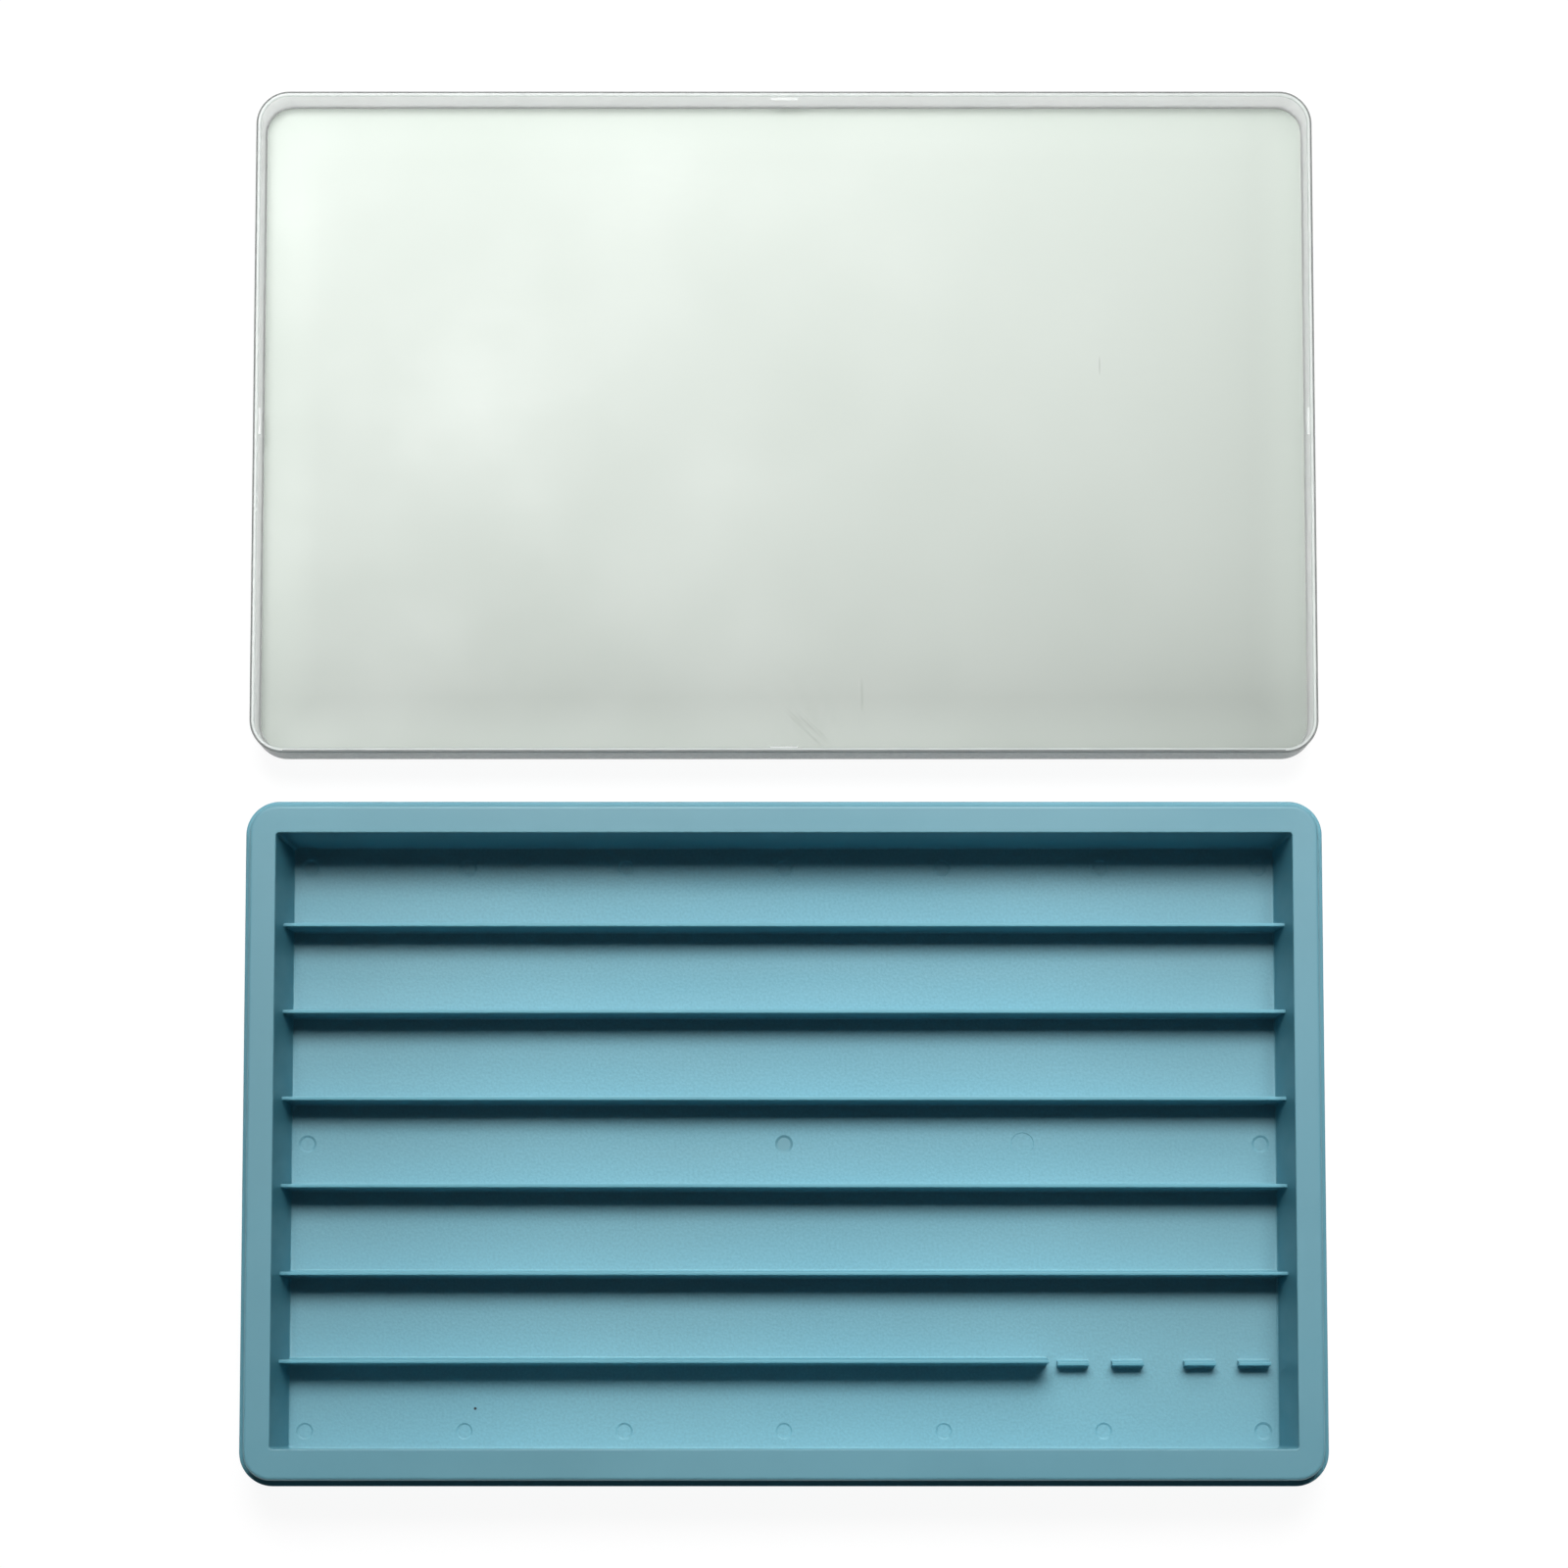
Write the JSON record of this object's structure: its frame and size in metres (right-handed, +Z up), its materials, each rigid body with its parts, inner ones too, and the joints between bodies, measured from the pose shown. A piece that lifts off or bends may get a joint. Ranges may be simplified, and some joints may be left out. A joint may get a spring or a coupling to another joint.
{
  "type": "wet palette",
  "caption": "Wet palette: blue ribbed brush tray with a shallow frosted press-on lid that holds a sponge sheet and palette paper.",
  "frame": {"origin": "On the table, under the axis about which the lid is turned over onto the tray, midway between the two pieces and at the middle of their length.", "axes": "+X to the user's right along the ribs, +Y away from the user from the tray to the lid, +Z up."},
  "size_m": [0.272, 0.357, 0.024],
  "materials": {
    "blue_plastic": "fine eroded grain inside, satin rim",
    "frosted_plastic": "frosted, slightly translucent",
    "sponge": "open-cell hydrating sponge",
    "palette_paper": "smooth damp membrane"
  },
  "bodies": {
    "tray": {"base_tray": "blue_plastic"},
    "lid": {"lid": "frosted_plastic"},
    "sponge": {"sponge_sheet": "sponge"},
    "paper": {"palette_paper": "palette_paper"}
  },
  "joints": [
    {"name": "lid_turn", "type": "hinge", "parent": "tray", "child": "lid", "pos_m": [0, 0, 0.0164], "axis": [1, 0, 0], "range_deg": [0, 180]},
    {"name": "sponge_lift", "type": "slide", "parent": "lid", "child": "sponge", "axis": [0, 0, 1], "range_m": [0, 0.002]},
    {"name": "paper_lift", "type": "slide", "parent": "sponge", "child": "paper", "axis": [0, 0, 1], "range_m": [0, 0.0015]}
  ]
}
